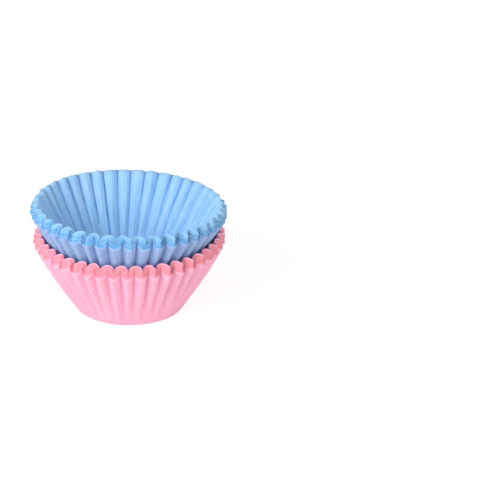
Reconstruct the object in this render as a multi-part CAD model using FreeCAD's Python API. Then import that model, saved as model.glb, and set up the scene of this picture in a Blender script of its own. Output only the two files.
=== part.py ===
import FreeCAD, Part
import math
import os

# Two nests of fluted paper baking cups, the blue nest standing in the pink one.
# Millimetres, +Z up. The pink base rests on z = 0 and is centred on the Z axis, and -Y is the front.

FLUTES = 42             # pleats round every cup
CUPS = 7                # cups drawn in each nest
PAPER = 0.06            # thickness of the paper
DISC_R = 39.7           # radius of the flat disc that a cup is pressed from
BASE_R = 15.65          # fold between base and wall on the outermost cup
PINK_RIM_R = 28.15      # radius to the crests at the rim, outermost pink cup
OPENS_WIDER = 0.9       # the blue nest is not held in, so its rim radius is this much larger
RIM_DEPTH = 1.8         # from crest to groove at the rim
NEST_THICK = 1.6        # one whole nest, measured across its wall or its base
WIDE_FLAT = 1.55        # a crest at the rim of the outermost cup, and a ridge of the innermost one
NARROW_FLAT = 0.14      # a groove of the outermost cup, and a crest of the innermost one
SEAT_GAP = 0.2          # left between the blue crests and the pink ridges that carry them
LEAN = 3.1              # degrees that the blue nest leans
LEAN_TO = 57.0          # the side it leans to, in degrees from +X towards +Y
PINK_TURN = -0.15       # turn of the pink pleats about the axis, in pleats
OUT_OF_STEP = 0.27      # the blue pleats are this much further on, so blue crests land on pink ridges

STEP = 2 * math.pi / FLUTES
CUP_STEP = (NEST_THICK - PAPER) / (CUPS - 1)
BLUE_RIM_R = PINK_RIM_R + OPENS_WIDER


def wall_angles(rim_r):
    """Angles from the vertical of the crest line and the ridge line of a nest whose crests end at rim_r."""
    slant = DISC_R - BASE_R
    crest = math.asin((rim_r - BASE_R) / slant)
    ridge = math.asin((rim_r - RIM_DEPTH - BASE_R) / slant)
    return crest, ridge


def skin(rim_r, turn, inset, thick):
    """Corner points of one side of a cup: a ring at the fold, and four points a pleat at the rim.

    inset is how far the cup lies inside the outermost one, across the wall. thick is 0 for the outer side
    of the paper and PAPER for the inner side. The paper doesn't stretch, so crest and ridge are as long as
    each other from fold to rim, and the steeper ridge ends higher.
    """
    crest, ridge = wall_angles(rim_r)
    fold_r = BASE_R - inset * (1 - math.sin(crest)) / math.cos(crest)
    slant = DISC_R - fold_r
    crest_r = fold_r + slant * math.sin(crest) - thick * math.cos(crest)
    crest_z = inset + slant * math.cos(crest) + thick * math.sin(crest)
    ridge_r = fold_r + slant * math.sin(ridge) - thick * math.cos(ridge)
    ridge_z = inset + slant * math.cos(ridge) + thick * math.sin(ridge)
    part_in = (inset + thick) / NEST_THICK
    crest_w = WIDE_FLAT + (NARROW_FLAT - WIDE_FLAT) * part_in
    ridge_w = NARROW_FLAT + (WIDE_FLAT - NARROW_FLAT) * part_in
    crest_a = crest_w / 2 / crest_r
    ridge_a = ridge_w / 2 / ridge_r
    fold = []
    rim = []
    for i in range(FLUTES):
        at = (i + turn) * STEP
        fold.append(point(fold_r - thick, at, inset + thick))
        rim.append([
            point(ridge_r, at - ridge_a, ridge_z),
            point(ridge_r, at + ridge_a, ridge_z),
            point(crest_r, at + STEP / 2 - crest_a, crest_z),
            point(crest_r, at + STEP / 2 + crest_a, crest_z),
        ])
    return fold, rim


def point(radius, angle, height):
    return FreeCAD.Vector(radius * math.cos(angle), radius * math.sin(angle), height)


def flat(*corners):
    """A flat face through the corners."""
    return Part.Face(Part.makePolygon(list(corners) + [corners[0]]))


def side_faces(fold, rim):
    """Per pleat a ridge, a flank, a crest and the next flank, and the round base."""
    faces = [flat(*fold)]
    for i in range(FLUTES):
        nxt = (i + 1) % FLUTES
        ridge_1, ridge_2, crest_1, crest_2 = rim[i]
        faces.append(flat(fold[i], ridge_1, ridge_2))
        faces.append(flat(fold[i], ridge_2, crest_1))
        faces.append(flat(fold[i], crest_1, crest_2, fold[nxt]))
        faces.append(flat(fold[nxt], crest_2, rim[nxt][0]))
    return faces


def cup(rim_r, turn, inset):
    """One cup: outer side, inner side and the cut edge between them, as a closed solid."""
    fold_out, rim_out = skin(rim_r, turn, inset, 0)
    fold_in, rim_in = skin(rim_r, turn, inset, PAPER)
    faces = side_faces(fold_out, rim_out) + side_faces(fold_in, rim_in)
    ring_out = [p for pleat in rim_out for p in pleat]
    ring_in = [p for pleat in rim_in for p in pleat]
    for i in range(len(ring_out)):
        j = (i + 1) % len(ring_out)
        faces.append(flat(ring_out[i], ring_out[j], ring_in[i]))
        faces.append(flat(ring_out[j], ring_in[j], ring_in[i]))
    shell = Part.makeShell(faces)
    solid = Part.makeSolid(shell)
    if solid.Volume < 0:
        solid.reverse()
    return solid


def blue_place():
    """Where the blue nest stands: its crests rest on the ridges of the innermost pink cup, all round."""
    pink_crest, pink_ridge = wall_angles(PINK_RIM_R)
    inset = NEST_THICK - PAPER
    fold_r = BASE_R - inset * (1 - math.sin(pink_crest)) / math.cos(pink_crest)
    slant = DISC_R - fold_r
    seat_r = fold_r + slant * math.sin(pink_ridge) - PAPER * math.cos(pink_ridge)
    seat_z = inset + slant * math.cos(pink_ridge) + PAPER * math.sin(pink_ridge)
    crest, ridge = wall_angles(BLUE_RIM_R)
    lean = math.radians(LEAN)
    # a cone that leans about its axis at the height of the seat is a little wider there, and off centre
    spread = math.cos(lean) / math.tan(crest) * (math.tan(crest + lean) + math.tan(crest - lean)) / 2
    held_r = (seat_r - SEAT_GAP / math.cos(crest)) / spread
    apex = held_r / math.tan(crest)
    off = apex * (math.cos(lean) * (math.tan(crest + lean) - math.tan(crest - lean)) / 2 - math.sin(lean))
    below = (held_r - BASE_R) / math.tan(crest)
    side = math.radians(LEAN_TO)
    axis = FreeCAD.Vector(-math.sin(side), math.cos(side), 0)
    seat = FreeCAD.Vector(-off * math.cos(side), -off * math.sin(side), seat_z)
    turn = FreeCAD.Rotation(axis, LEAN)
    return FreeCAD.Placement(seat - turn.multVec(FreeCAD.Vector(0, 0, below)), turn)


os.makedirs("parts", exist_ok=True)
place = blue_place()
print("blue nest stands at", [round(v, 3) for v in place.Base])
for colour, rim_r, turn in (("pink", PINK_RIM_R, PINK_TURN), ("blue", BLUE_RIM_R, PINK_TURN + OUT_OF_STEP)):
    for number in range(CUPS):
        solid = cup(rim_r, turn, number * CUP_STEP)
        if colour == "blue":
            solid.Placement = place
        name = "%s_liner_%02d" % (colour, number + 1)
        solid.exportStep("parts/%s.step" % name)
        box = solid.BoundBox
        print(name, "valid", solid.isValid(), "closed", solid.isClosed(), "volume %.2f" % solid.Volume,
              "z %.2f to %.2f" % (box.ZMin, box.ZMax))
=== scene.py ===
# %% [markdown]
# # A stack of cupcake liners
#
# Two nests of small paper baking cups, a blue one standing crooked in a pink one. Each cup starts as a flat
# disc of thin paper. A press folds it into pleats, so it gets a flat round base and a wavy wall that flares
# to the rim. The CAD model already holds every liner at its real size with flat facets. Blender's work is
# to round the pleats, to show the many thin sheets at the rim and to make the surface read as baking paper.
#
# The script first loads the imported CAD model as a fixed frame. Nothing in the frame is moved or resized.

import bpy
import math
import numpy as np
from mathutils import Matrix, Vector


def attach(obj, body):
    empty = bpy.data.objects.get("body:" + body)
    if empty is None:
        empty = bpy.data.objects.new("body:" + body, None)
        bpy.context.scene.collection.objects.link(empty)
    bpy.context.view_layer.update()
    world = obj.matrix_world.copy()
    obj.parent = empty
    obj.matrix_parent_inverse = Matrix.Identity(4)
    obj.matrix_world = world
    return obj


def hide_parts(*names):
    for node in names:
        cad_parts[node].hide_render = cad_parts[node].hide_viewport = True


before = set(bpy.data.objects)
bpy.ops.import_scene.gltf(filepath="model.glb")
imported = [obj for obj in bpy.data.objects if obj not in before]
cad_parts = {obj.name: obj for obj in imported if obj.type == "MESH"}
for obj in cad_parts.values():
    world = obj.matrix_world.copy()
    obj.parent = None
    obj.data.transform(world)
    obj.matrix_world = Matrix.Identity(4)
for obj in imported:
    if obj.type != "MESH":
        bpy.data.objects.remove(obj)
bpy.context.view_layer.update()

# %% [markdown]
# ## The sizes of a liner
#
# These are the sizes the CAD model was made from, in millimetres. They are written once here and every shape
# below is worked out from them. Only the function that makes a mesh turns millimetres into Blender's metres,
# so all the thinking can be done in millimetres.

# %% Sizes in millimetres
PLEATS = 42
DISC_R = 39.7
BASE_R = 15.65
RIM_DEPTH = 1.8
NEST_THICK = 1.6
PAPER = 0.06
LINERS = 7
RIM_R = {"pink": 28.15, "blue": 29.05}
TURN = {"pink": -0.15, "blue": 0.12}
STEP = 2 * math.pi / PLEATS
MM = 0.001
print(2 * LINERS, "liners with", PLEATS, "pleats, each pressed from a flat disc of", 2 * DISC_R, "mm")

# %% [markdown]
# ## How this stack differs from a perfect one
#
# A pressed paper cup is never as even as its drawing, and much of the likeness lies in how it departs from
# it. Each value below is one such habit, for the pink and the blue nest, and its comment says what it does.
# Lengths are in millimetres. Powers shape a curve: a larger one gives a softer fold or a later start.

# %% How soft the folds are
CORNER_R = 1.2  # radius of the bend between base and wall
TIGHTEST = 0.7  # smallest radius of that bend, on the inner sheets
CRISP = 0.58  # power of a pleat's hump at the rim
SOFTER = 0.4  # added to that power down at the base
OUTER_SOFTER = {"pink": 0.28, "blue": 0.12}  # added to it on the outermost sheet
LOOSER = {"pink": 1.3, "blue": 2.4}  # added to it there towards the base, so that the grooves open
LOOSEST = 1.4  # the largest power of the outermost sheet
GROW = {"pink": 0.7, "blue": 0.45}  # power by which the pleats deepen on the way up
LATE = 0.22  # how much that power varies round the cup
UNEVEN = 0.06  # share by which some pleats are shallower than others
print("power of a hump at the rim", CRISP, "and at the base", CRISP + SOFTER)

# %% How each nest is out of true
SLIP = {"pink": 0.0, "blue": -0.32}  # how far the pleats have slipped round at the back, in pleats
WIDEN = {"pink": 0.0, "blue": 0.15}  # how far they spread and bunch at the front, in pleats
DRIFT = 0.045  # how far any pleat is off its place, in pleats
WANDER = 0.05  # how far a pleat bends aside half-way up, in pleats
SLACK = {"pink": 0.0, "blue": 0.85}  # share of its depth that one slack pleat lacks low on the wall
SLACK_TOP, SLACK_FADE = 0.3, 0.15  # where on the wall it ends, and over how much
SLACK_AT, SLACK_WIDE = 116, 6  # where it is and how wide, in degrees
EGG = {"pink": 0.0, "blue": 0.55}  # how far the rim is pushed in on the left
EGG_AT, EGG_WIDE = 170, 50
SHALLOW = {"pink": 0.0, "blue": 0.1}  # share by which the pleats on the left are shallower
SHALLOW_AT, SHALLOW_WIDE = 178, 32
SWELL = {"pink": 0.4, "blue": 0.0}  # how far the wall bulges out half-way up
FLARE = 0.06  # how far the rim leaves its circle in places
SPREAD = {"pink": -1, "blue": 1}  # the pink rim does so outward, the blue one inward
OUTER_CREASE = {"pink": 0.07, "blue": 0.05}  # depth of the creases on the outermost sheet
INNER_CREASE = {"pink": 0.1, "blue": 0.26}  # and on the innermost one
SEED = {"pink": 10, "blue": 50}
print("one slack pleat of the blue nest at", SLACK_AT, "degrees")

# %% How the sheets of a nest differ from each other
SHEAR = {"pink": 0.25, "blue": 0.3}  # how far the innermost rim sits to the right
TALLER = {"pink": 0.28, "blue": 0.16}  # how much longer the innermost sheet is
RAGGED = {"pink": 0.05, "blue": 0.3}  # how ragged the cut edges are
OFF_CENTRE = 0.14  # how far a disc sat off the middle of the press
SHORTER, LONGER = -0.16, 0.06  # range of the rest of a sheet's error in length
NEAT = 0.3  # share of that wander on the outer two sheets and on the innermost one
CUT_SEED = {"pink": 100, "blue": 140}
RAGGED_SEED = 200
print("edges are ragged by about", RAGGED, "mm")

# %% [markdown]
# ## Where the blue nest stands
#
# The blue nest leans a little to the back right, and its pleats rest on the ridges of the pink ones. One
# matrix holds both its lean and its foot point, so every blue sheet is made upright and then moved by it.

# %% Place of each nest
LEAN = 3.1
LEAN_TO = math.radians(57)
lean_axis = Vector((-math.sin(LEAN_TO), math.cos(LEAN_TO), 0))
BLUE_FOOT = Vector((-0.939, -1.445, 9.216))
PLACE = {
    "pink": Matrix.Identity(4),
    "blue": Matrix.Translation(BLUE_FOOT) @ Matrix.Rotation(math.radians(LEAN), 4, lean_axis),
}
print("the blue nest leans", LEAN, "degrees and stands", BLUE_FOOT.z, "mm up")

# %% [markdown]
# ## Chance, but the same every time
#
# No two pleats of a pressed paper cup are alike: one is a bit wider, the next a bit flatter. A sum of a few
# sine waves round the cup gives such a slow, closed wobble. It comes from a numbered seed, so the cup is the
# same on each run, and all sheets of a nest share it, because they were pressed together. Creases are made
# the same way from steeper waves that also climb the wall, cut to a narrow range.


# %% A closed wobble round the cup
def wobble(angle, seed, low, high):
    """A smooth random wave round the cup, about -1 to 1, made of low to high waves a turn."""
    rng = np.random.default_rng(seed)
    total = np.zeros_like(angle)
    for waves in range(low, high + 1):
        total += rng.normal() * np.sin(waves * angle + rng.uniform(0, 2 * math.pi))
    return total / math.sqrt((high - low + 1) / 2) / 1.6


def near(angle, degrees, width):
    """1 at one place on the cup and 0 away from it, over about width degrees to each side."""
    away = (np.degrees(angle) - degrees + 180) % 360 - 180
    return np.exp(-((away / width) ** 2))


def eased(t):
    """0 below t = 0, 1 above t = 1 and a smooth step between them."""
    t = min(max(t, 0.0), 1.0)
    return t * t * (3 - 2 * t)


def creases(angle, up, seed):
    """Small sharp creases between 0 and 1, which run up the wall and fade out at its ends."""
    rng = np.random.default_rng(seed)
    total = np.zeros_like(angle)
    for _ in range(26):
        waves = int(rng.integers(20, 110))
        climb = rng.uniform(-14, 14)
        total += rng.normal() * np.sin(waves * angle + climb * up + rng.uniform(0, 2 * math.pi))
    return np.clip(1 - np.abs(total) / 4, 0, 1) * math.sin(math.pi * min(1.0, up * 1.1)) ** 0.5


print("wobble at four angles", wobble(np.arange(4.0), SEED["pink"], 5, 30).round(2))


# %% [markdown]
# ## The shape of a pleat
#
# Seen from above, the outermost sheet of a thick nest has wide round crests and tight grooves, because it
# goes round the outside of all the others. On the innermost sheet it is the other way about, so the
# rim looks like a row of round arches. A lobe is a round hump that drops steeply at both ends. Blending a
# lobe with the same lobe turned inside out gives every sheet between the two. Lower on the wall the paper
# is less tightly pressed, so the lobe is softer there, and most of all on the outermost sheet.


# %% Profile of a pleat
def lobe(x, power):
    """1 at x = 0, 0 at x = 1, round at the top and steep at the bottom. A larger power is a softer fold."""
    return np.clip(1 - x**2, 0, 1) ** power


def pleat(nest, x, inside, up):
    """How far inward the paper is, from 0 on a crest to 1 on a ridge. inside is 0 for the outermost sheet."""
    power = CRISP + SOFTER * (1 - up)
    outer = 1 - lobe(x, min(power + OUTER_SOFTER[nest] + LOOSER[nest] * (1 - up), LOOSEST))
    inner = lobe(1 - x, power)
    return (1 - inside) * outer + inside * inner


halfway = [round(float(pleat("pink", 0.5, inside, 1)), 2) for inside in (0, 1)]
print("depth half-way from crest to ridge, on the outermost and innermost sheet:", halfway)


# %% [markdown]
# ## Columns that follow the pleats
#
# The points of a sheet are laid in columns that run up along the pleats, closest together at the crests and
# at the ridges, where the paper turns sharply. That keeps the folds crisp with few points.


# %% Columns round the cup
def columns_of(nest, per_pleat):
    """Angles of the columns and their place in the pleat, x, which is 1 on a ridge and 0 on a crest."""
    half = per_pleat // 2
    share = (1 - np.cos(math.pi * np.arange(half) / half)) / 4
    in_pleat = np.concatenate([share, share + 0.5])
    turn = (np.arange(PLEATS)[:, None] + in_pleat[None, :]).ravel()
    x = 2 * np.abs(turn - np.floor(turn) - 0.5)
    angle = (turn + TURN[nest]) * STEP
    back = 0.5 + 0.5 * np.sin(angle)
    drift = SLIP[nest] * back + WIDEN[nest] * (1 - back) ** 2 * np.sin(2 * angle + math.pi)
    return angle + STEP * (drift + DRIFT * wobble(angle, SEED[nest] + 1, 5, 30)), x


print("columns of a sheet that is seen whole:", len(columns_of("pink", 16)[0]))


# %% [markdown]
# ## One side of one sheet
#
# The paper doesn't stretch. Along a crest and along a ridge it is equally long from fold to rim, and the
# ridge is steeper, so it ends higher. That is why the rim waves up and down as well as in and out.
# Moving each point of a straight crest line inward, square to the wall, gives exactly that.
#
# The pleats start at nothing at the base and grow quickly at first, then slower, as spare paper does in a
# real pressed cup. The wall of the pink nest also swells a little, because the blue nest spreads it.


# %% Rows of points from the middle of the base to the rim
def rows_of(wall_rows, arc_rows, floor_radii):
    """A list of (kind, value): floor rings by radius, arc and wall points by share of their length."""
    rows = [("floor", r) for r in floor_radii]
    rows += [("arc", i / arc_rows) for i in range(arc_rows)]
    rows += [("wall", (i / wall_rows) ** 1.25) for i in range(wall_rows + 1)]
    return rows


BEND_CLEAR = 0.3  # the flat rings of the base stay this far from its bend


def sheet_side(nest, depth_in, thick, columns, rows, cut, crinkle):
    """Points of one side of a sheet as rows x columns x 3, in millimetres, before the nest is placed."""
    crest = math.asin((RIM_R[nest] - BASE_R) / (DISC_R - BASE_R))
    ridge = math.asin((RIM_R[nest] - RIM_DEPTH - BASE_R) / (DISC_R - BASE_R))
    fold_r = BASE_R - depth_in * (1 - math.sin(crest)) / math.cos(crest)
    slant = DISC_R - fold_r
    full_depth = 2 * slant * math.sin((crest - ridge) / 2)
    middle = (crest + ridge) / 2
    corner = max(CORNER_R - depth_in, TIGHTEST)
    bend = math.pi / 2 - crest
    start = corner * math.tan(bend / 2)

    angle, x = columns
    shallow = SHALLOW[nest] * near(angle, SHALLOW_AT, SHALLOW_WIDE)
    uneven = 1 - UNEVEN * (1 + wobble(angle, SEED[nest] + 2, 6, 34)) - shallow
    late = LATE * (1 + wobble(angle, SEED[nest] + 5, 4, 26))
    slack = SLACK[nest] * near(angle, SLACK_AT, SLACK_WIDE)
    egg = EGG[nest] * near(angle, EGG_AT, EGG_WIDE)
    flare = FLARE * (1 + wobble(angle, SEED[nest] + 3, 2, 6))
    inside = min(1.0, (depth_in + thick) / NEST_THICK)

    points = np.zeros((len(rows), len(angle), 3))
    for k, (kind, value) in enumerate(rows):
        if kind == "floor":
            r = np.full(len(angle), min(value, fold_r - start - BEND_CLEAR))
            z = np.full(len(angle), depth_in + thick)
            wander = 0.0
        elif kind == "arc":
            r = np.full(len(angle), fold_r - start + (corner - thick) * math.sin(bend * value))
            z = np.full(len(angle), depth_in + corner - (corner - thick) * math.cos(bend * value))
            wander = 0.0
        else:
            length = start + value * (slant + cut - start)
            swell = SWELL[nest] * math.sin(math.pi * value)
            inward = full_depth * value ** (GROW[nest] + late) * uneven * pleat(nest, x, inside, value)
            inward = inward * (1 - slack * (1 - eased((value - SLACK_TOP) / SLACK_FADE)))
            inward = inward + crinkle * creases(angle, value, SEED[nest] + 6) + egg * value**2
            inward = inward + SPREAD[nest] * flare * value**2 - swell + thick
            r = fold_r + length * math.sin(crest) - inward * math.cos(middle)
            z = depth_in + length * math.cos(crest) + inward * math.sin(middle)
            wander = WANDER * STEP * wobble(angle, SEED[nest] + 4, 8, 40) * math.sin(math.pi * value)
        shift = SHEAR[nest] * depth_in / NEST_THICK * (value**2 if kind == "wall" else 0.0)
        points[k, :, 0] = r * np.cos(angle + wander) + shift
        points[k, :, 1] = r * np.sin(angle + wander)
        points[k, :, 2] = z
    return points


print("rows of a sheet that is seen whole:", len(rows_of(18, 4, (4.0, 8.0, 11.5))))


# %% [markdown]
# ## From points to a closed sheet
#
# A sheet of paper is a thin closed solid: an outer side, an inner side and the cut edge that joins them at
# the rim. The faces are laid out as index arrays and handed to Blender in one go, which is far quicker than
# adding them one at a time.


# %% Build the mesh of several sheets
def quads_between(a, b, columns):
    """Quads between two rings that start at vertex a and vertex b."""
    i = np.arange(columns)
    j = (i + 1) % columns
    return np.stack([a + i, a + j, b + j, b + i], axis=1)


def sheets_mesh(name, sheets):
    """One mesh out of several sheets, each given as (outer side, inner side, slots of outer, inner, edge)."""
    verts, loops, sizes, slot_of_face, smooth = [], [], [], [], []
    base = 0
    for outer, inner, slots in sheets:
        n_rows, columns, _ = outer.shape
        count = n_rows * columns
        verts += [outer.reshape(-1, 3), inner.reshape(-1, 3)]
        for k in range(n_rows - 1):
            quad = quads_between(base + k * columns, base + (k + 1) * columns, columns)
            loops += [quad.ravel(), (quad[:, ::-1] + count).ravel()]
            sizes += [4] * (2 * columns)
            slot_of_face += [slots[0]] * columns + [slots[1]] * columns
            smooth += [True] * (2 * columns)
        last = base + (n_rows - 1) * columns
        loops.append(quads_between(last, last + count, columns).ravel())
        sizes += [4] * columns
        slot_of_face += [slots[2]] * columns
        smooth += [False] * columns
        ring = np.arange(columns)
        loops += [base + ring[::-1], base + count + ring]
        sizes += [columns, columns]
        slot_of_face += [slots[0], slots[1]]
        smooth += [True, True]
        base += 2 * count
    coords = np.concatenate(verts)
    corner_verts = np.concatenate(loops)
    sizes = np.array(sizes)
    mesh = bpy.data.meshes.new(name)
    mesh.vertices.add(len(coords))
    mesh.vertices.foreach_set("co", (coords * MM).astype(np.float32).ravel())
    mesh.loops.add(len(corner_verts))
    mesh.loops.foreach_set("vertex_index", corner_verts.astype(np.int32))
    mesh.polygons.add(len(sizes))
    starts = np.concatenate([[0], np.cumsum(sizes)[:-1]])
    mesh.polygons.foreach_set("loop_start", starts.astype(np.int32))
    mesh.polygons.foreach_set("material_index", np.array(slot_of_face, dtype=np.int32))
    mesh.update(calc_edges=True)
    mesh.polygons.foreach_set("use_smooth", np.array(smooth))
    mesh.validate()
    return mesh


print("quads between two rings of four points:", quads_between(0, 4, 4).tolist())


# %% [markdown]
# ## Colours
#
# Colours are picked as the hex values one reads off a screen. Blender works with linear light, so one
# function converts them.


# %% sRGB hex to linear
def linear(hex_code):
    """A screen colour such as "fec1d8" as linear red, green, blue and alpha."""
    values = [int(hex_code[i : i + 2], 16) / 255 for i in (0, 2, 4)]
    return [v / 12.92 if v <= 0.04045 else ((v + 0.055) / 1.055) ** 2.4 for v in values] + [1.0]


print("mid grey 808080 is", round(linear("808080")[0], 3), "in linear light")


# %% [markdown]
# ## Dyed baking paper
#
# Baking cups are greaseproof paper: long-beaten wood fibre, pressed smooth, dyed in the pulp and left
# uncoated. To the eye it is matt with a faint silky sheen, and slightly cloudy where fibres lie thicker. The
# clouds are about 1.6 mm wide. The fibres are about 0.05 mm, which is too fine to show here, so they are
# drawn at 0.12 mm.
#
# The press also stretches fine lines up the wall, about 0.75 mm apart. They are a noise that depends on the
# direction from the middle and hardly on the height, so it draws rays, and they fade out on the flat base,
# between 12 and 17 mm from the middle. The same noise darkens the lines and sinks them a little as bump.
#
# One small function adds a node, sets its inputs and links it, and the material is built with it.


# %% Add a node
def add(tree, kind, settings=None, inputs=None, **links):
    """Adds a node, sets attributes and input values, and links input names to other nodes' sockets."""
    node = tree.nodes.new(kind)
    for key, value in (settings or {}).items():
        setattr(node, key, value)
    for key, value in (inputs or {}).items():
        node.inputs[key].default_value = value
    for key, socket in links.items():
        tree.links.new(socket, node.inputs[key.replace("_", " ")])
    return node


# %% Sizes of the paper's pattern in millimetres
CLOUD_MM = 1.6
FIBRE_MM = 0.12  # really about 0.05, drawn coarser so that it shows
FIBRE_DEEP = 0.02
MID_R = 24.0  # radius at which the pressed lines have their spacing
LINE_MM = 0.75
LINE_DRIFT = 0.002  # how quickly the lines change with height
LINE_DEEP = 0.4
LINE_SHARE = 0.7  # share of the lines against the clouds on the wall
FLAT_R, WALL_R = 12, 17  # the lines begin and are full at these radii
DEEP_AT, LIGHT_AT = 0.36, 0.6  # values of the pattern that get the two tones
print("pressed lines round the wall: about", round(2 * math.pi * MID_R / LINE_MM))


# %% Baking paper
def baking_paper(name, light, deep):
    """Matt dyed paper. light and deep are the two tones of its clouds."""
    material = bpy.data.materials.new(name)
    material.use_nodes = True
    tree = material.node_tree
    tree.nodes.clear()
    place = add(tree, "ShaderNodeTexCoord")
    clouds = add(tree, "ShaderNodeTexNoise", {},
                 {"Scale": 1 / (CLOUD_MM * MM), "Detail": 3.0, "Roughness": 0.55},
                 Vector=place.outputs["Object"])
    faint = add(tree, "ShaderNodeMapRange", {}, {"To Min": 0.2, "To Max": 0.8}, Value=clouds.outputs["Fac"])
    level = add(tree, "ShaderNodeVectorMath", {"operation": "MULTIPLY"}, {1: (1, 1, 0)},
                Vector=place.outputs["Object"])
    radius = add(tree, "ShaderNodeVectorMath", {"operation": "LENGTH"}, {}, Vector=level.outputs["Vector"])
    wall = add(tree, "ShaderNodeMapRange", {}, {"From Min": FLAT_R * MM, "From Max": WALL_R * MM},
               Value=radius.outputs["Value"])
    aim = add(tree, "ShaderNodeVectorMath", {"operation": "NORMALIZE"}, {}, Vector=level.outputs["Vector"])
    along = add(tree, "ShaderNodeVectorMath", {"operation": "MULTIPLY_ADD"}, {1: (0, 0, LINE_DRIFT / MM)},
                Vector=place.outputs["Object"])
    tree.links.new(aim.outputs["Vector"], along.inputs[2])
    lines = add(tree, "ShaderNodeTexNoise", {},
                {"Scale": MID_R / LINE_MM, "Detail": 3.0, "Roughness": 0.65},
                Vector=along.outputs["Vector"])
    share = add(tree, "ShaderNodeMath", {"operation": "MULTIPLY"}, {1: LINE_SHARE})
    tree.links.new(wall.outputs["Result"], share.inputs[0])
    cloudy = add(tree, "ShaderNodeMix", {"data_type": "FLOAT"}, {}, Factor=share.outputs["Value"],
                 A=faint.outputs["Result"], B=lines.outputs["Fac"])
    tone = add(tree, "ShaderNodeValToRGB", {}, {}, Fac=cloudy.outputs["Result"])
    tone.color_ramp.elements[0].position = DEEP_AT
    tone.color_ramp.elements[0].color = linear(deep)
    tone.color_ramp.elements[1].position = LIGHT_AT
    tone.color_ramp.elements[1].color = linear(light)
    fibres = add(tree, "ShaderNodeTexNoise", {},
                 {"Scale": 1 / (FIBRE_MM * MM), "Detail": 2.0, "Roughness": 0.6},
                 Vector=place.outputs["Object"])
    grain = add(tree, "ShaderNodeBump", {}, {"Strength": 0.25, "Distance": FIBRE_DEEP * MM},
                Height=fibres.outputs["Fac"])
    bump = add(tree, "ShaderNodeBump", {}, {"Distance": LINE_DEEP * MM}, Strength=wall.outputs["Result"],
               Height=lines.outputs["Fac"], Normal=grain.outputs["Normal"])
    paper = add(tree, "ShaderNodeBsdfPrincipled", {},
                {"Roughness": 0.72, "Specular IOR Level": 0.3, "Sheen Weight": 0.12, "Sheen Roughness": 0.5},
                Base_Color=tone.outputs["Color"], Normal=bump.outputs["Normal"])
    add(tree, "ShaderNodeOutputMaterial", {}, {}, Surface=paper.outputs["BSDF"])
    return material


# %% [markdown]
# ## The four tones of each nest
#
# The dye is the same all through, but the inside and the outside of a nest catch other light from the room,
# and some tones hold that light painted in. The blue outside is lavender and darker than its inside: a
# painted reflection of the pink nest and painted shade. The pink outside takes the tones of its inside. The
# stacked cut edges are deeper and stronger in colour: painted shade for the light that sinks in between the
# sheets.
# Each sheet's edge takes one of two tones by chance, which lets the eye tell the sheets apart.

# %% Tones of the paper
TONES = {
    "pink": [
        baking_paper("pink_baking_paper", "fec1d8", "faafcb"),
        baking_paper("pink_baking_paper_outside", "fec1d8", "faafcb"),
        # cut edges: deeper than the paper as painted shade between the stacked sheets; each edge takes one of
        # the two by chance
        baking_paper("pink_edges_painted_shade", "fca6b7", "fa9eb0"),
        baking_paper("pink_edges_painted_shade_deep", "fa9fb0", "f798aa"),
    ],
    "blue": [
        baking_paper("blue_baking_paper", "acd8fc", "91c5f2"),
        # blue outside: lavender painted reflection of the pink nest and painted shade on the paper's own blue
        baking_paper("blue_paper_outside_painted_reflection_and_shade", "a2bfe8", "8eaddf"),
        # cut edges: deeper than the paper as painted shade between the stacked sheets; each edge takes one of
        # the two by chance
        baking_paper("blue_edges_painted_shade", "9ad0f4", "80bbeb"),
        baking_paper("blue_edges_painted_shade_deep", "82beee", "64a6e3"),
    ],
}
print("materials:", [m.name for m in bpy.data.materials if m.use_nodes])

# %% [markdown]
# ## The liners
#
# A real nest of this thickness holds about two dozen sheets. Each CAD liner is drawn as two sheets here, so
# the rim shows a dense band of fine edges. The outermost and the innermost sheet are seen whole and get more
# points. Each disc sat a little off centre in the press, so its edge ends a touch higher on one side: that
# small shift makes the edges bunch and spread round the rim. On top of it each edge is a little ragged.

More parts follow.
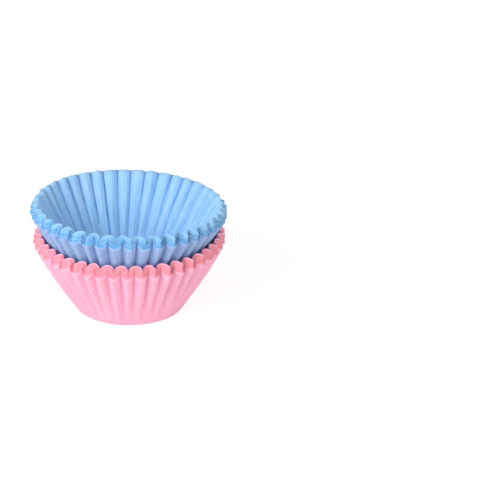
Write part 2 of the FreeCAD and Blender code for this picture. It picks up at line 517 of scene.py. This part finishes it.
# %% Make every liner
SHEETS = 2 * LINERS
INSIDE, OUTSIDE, FIRST_EDGE = 0, 1, 2  # places of the tones in the lists above
made = []
for nest in ("pink", "blue"):
    for liner in range(LINERS):
        sheets = []
        for half in range(2):
            number = 2 * liner + half
            depth_in = (NEST_THICK - PAPER) * number / (SHEETS - 1)
            whole = number in (0, SHEETS - 1)
            crinkle = {0: -OUTER_CREASE[nest], SHEETS - 1: INNER_CREASE[nest]}.get(number, 0.0)
            columns = columns_of(nest, 16 if whole else 8)
            rows = rows_of(18, 4, (4.0, 8.0, 11.5)) if whole else rows_of(9, 2, (8.0,))
            rng = np.random.default_rng(CUT_SEED[nest] + number)
            cut = rng.normal(0, OFF_CENTRE) * np.cos(columns[0] - rng.uniform(0, 2 * math.pi))
            cut = cut + rng.uniform(SHORTER, LONGER)
            cut = cut + RAGGED[nest] * wobble(columns[0], RAGGED_SEED + number, 20, 80)
            if number < 2:
                cut = cut * NEAT
            if number == SHEETS - 1:
                cut = cut * NEAT + TALLER[nest]
            outer = sheet_side(nest, depth_in, 0.0, columns, rows, cut, crinkle)
            inner = sheet_side(nest, depth_in, PAPER, columns, rows, cut, crinkle)
            # the edge tones are painted shade between the sheets; which of the two a sheet gets is chance
            tone = FIRST_EDGE + int(rng.integers(0, 2))
            slots = (tone, tone, tone)
            # the outermost sheet's outer side takes the outside tone, which on the blue nest holds a painted
            # reflection and painted shade
            if number == 0:
                slots = (OUTSIDE, tone, tone)
            if number == SHEETS - 1:
                slots = (INSIDE, INSIDE, INSIDE)
            sheets.append((outer, inner, slots))
        node = "%s_liner_%02d" % (nest, liner + 1)
        mesh = sheets_mesh("paper_" + node, sheets)
        mesh.transform(Matrix.Scale(1 / MM, 4))
        mesh.transform(PLACE[nest])
        mesh.transform(Matrix.Scale(MM, 4))
        for material in TONES[nest]:
            mesh.materials.append(material)
        piece = bpy.data.objects.new("paper_" + node, mesh)
        bpy.context.scene.collection.objects.link(piece)
        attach(piece, "root")
        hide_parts(node)
        made.append(piece)
print(len(made), "liners,", sum(sum(p.loop_total - 2 for p in o.data.polygons) for o in made), "triangles")

# %% [markdown]
# ## Floor, backdrop and light
#
# The liners stand on plain white. The floor takes their shadow like any surface, and only for the camera it
# is lifted to white. The key light is soft and white and comes from the front left and above, as the bright
# left flank of each pleat shows. A larger, slightly warm fill from low on the right keeps the far flanks from
# going dark. The room around gives a weak even light, and the camera sees it as white.

# %% White floor
FLOOR_HALF = 3.0
CARD_WHITE = 0.9
LIFT = 1.3
LIFT_SHARE = 0.62


def white_floor():
    """White card that is lifted towards white where the camera sees it."""
    material = bpy.data.materials.new("white_card")
    material.use_nodes = True
    tree = material.node_tree
    tree.nodes.clear()
    ray = add(tree, "ShaderNodeLightPath")
    card = add(tree, "ShaderNodeBsdfDiffuse", {}, {"Color": (CARD_WHITE, CARD_WHITE, CARD_WHITE, 1)})
    lift = add(tree, "ShaderNodeEmission", {}, {"Color": (1, 1, 1, 1), "Strength": LIFT})
    share = add(tree, "ShaderNodeMath", {"operation": "MULTIPLY"}, {1: LIFT_SHARE})
    tree.links.new(ray.outputs["Is Camera Ray"], share.inputs[0])
    half = add(tree, "ShaderNodeMixShader", {}, {}, Fac=share.outputs["Value"])
    tree.links.new(card.outputs["BSDF"], half.inputs[1])
    tree.links.new(lift.outputs["Emission"], half.inputs[2])
    out = add(tree, "ShaderNodeOutputMaterial", {}, {})
    tree.links.new(half.outputs["Shader"], out.inputs["Surface"])
    return material


floor_mesh = bpy.data.meshes.new("floor")
floor_corners = [(FLOOR_HALF * x, FLOOR_HALF * y, 0) for x, y in ((-1, -1), (1, -1), (1, 1), (-1, 1))]
floor_mesh.from_pydata(floor_corners, [], [(0, 1, 2, 3)])
floor_mesh.materials.append(white_floor())
floor = bpy.data.objects.new("floor", floor_mesh)
bpy.context.scene.collection.objects.link(floor)
print("floor of", 2 * FLOOR_HALF, "m")

# %% Soft lamps
AIM_AT = Vector((0, 0, 0.015))
KEY = {"position": (-0.58, -0.63, 0.52), "size": 0.55, "power": 7.5, "tint": (1.0, 1.0, 1.0)}
FILL = {"position": (0.8, -0.6, 0.2), "size": 0.9, "power": 5.1, "tint": (1.0, 0.89, 0.82)}


def soft_lamp(name, position, size, power, tint):
    """A square soft lamp that faces the stack."""
    data = bpy.data.lights.new(name, "AREA")
    data.size = size
    data.energy = power
    data.color = tint
    lamp = bpy.data.objects.new(name, data)
    lamp.location = position
    lamp.rotation_euler = (AIM_AT - Vector(position)).to_track_quat("-Z", "Y").to_euler()
    bpy.context.scene.collection.objects.link(lamp)
    return lamp


lamps = [soft_lamp("key_left", **KEY), soft_lamp("fill_right", **FILL)]
print("lamps:", [(lamp.name, round(lamp.data.energy, 1)) for lamp in lamps])

# %% White surroundings
ROOM_LIGHT = 0.43
world = bpy.data.worlds.new("white_room")
bpy.context.scene.world = world
world.use_nodes = True
tree = world.node_tree
tree.nodes.clear()
ray = add(tree, "ShaderNodeLightPath")
direct = add(tree, "ShaderNodeMath", {"operation": "MAXIMUM"})
tree.links.new(ray.outputs["Is Camera Ray"], direct.inputs[0])
tree.links.new(ray.outputs["Is Glossy Ray"], direct.inputs[1])
room = add(tree, "ShaderNodeBackground", {}, {"Color": (1, 1, 1, 1), "Strength": ROOM_LIGHT})
white = add(tree, "ShaderNodeBackground", {}, {"Color": (1, 1, 1, 1), "Strength": 1.0})
pick = add(tree, "ShaderNodeMixShader", {}, {}, Fac=direct.outputs["Value"])
tree.links.new(room.outputs["Background"], pick.inputs[1])
tree.links.new(white.outputs["Background"], pick.inputs[2])
out = add(tree, "ShaderNodeOutputWorld", {}, {})
tree.links.new(pick.outputs["Shader"], out.inputs["Surface"])
print("the room gives light of strength", ROOM_LIGHT)

# %% [markdown]
# ## The camera
#
# The photograph looks down on the stack by about 24 degrees through a long lens, and the stack stands left of
# the middle. The distance follows from the scale, 3.4 pixels a millimetre, and a focal length of 5000
# pixels. The camera's place is then worked out so that the middle of the base lands on its pixel.

# %% Camera at the photograph's angle
FRAME_PX = 477
SENSOR_MM = 36.0
FOCAL_PX = 5000.0
SCALE_PX = 3.40
ELEVATION = math.radians(24.3)
BASE_PX = (129.7, 303.05)
distance = FOCAL_PX / SCALE_PX * MM
across = (BASE_PX[0] - FRAME_PX / 2) / FOCAL_PX
down = (BASE_PX[1] - FRAME_PX / 2) / FOCAL_PX
yaw = math.atan(across / math.cos(ELEVATION))
turn = Matrix.Rotation(yaw, 3, "Z") @ Matrix.Rotation(math.pi / 2 - ELEVATION, 3, "X")
camera_data = bpy.data.cameras.new("camera")
camera_data.sensor_width = SENSOR_MM
camera_data.lens = SENSOR_MM * FOCAL_PX / FRAME_PX
camera_data.clip_start = 0.01
camera_data.clip_end = 20.0
camera = bpy.data.objects.new("camera", camera_data)
camera.matrix_world = Matrix.Translation(-(turn @ Vector((across, -down, -1))) * distance) @ turn.to_4x4()
bpy.context.scene.collection.objects.link(camera)
bpy.context.scene.camera = camera
print("camera at", [round(v * 1000, 1) for v in camera.matrix_world.translation], "mm")

# %% [markdown]
# ## Finish
#
# The colours are shown as they are written.

# %% Finish
bpy.context.scene.view_settings.view_transform = "Standard"
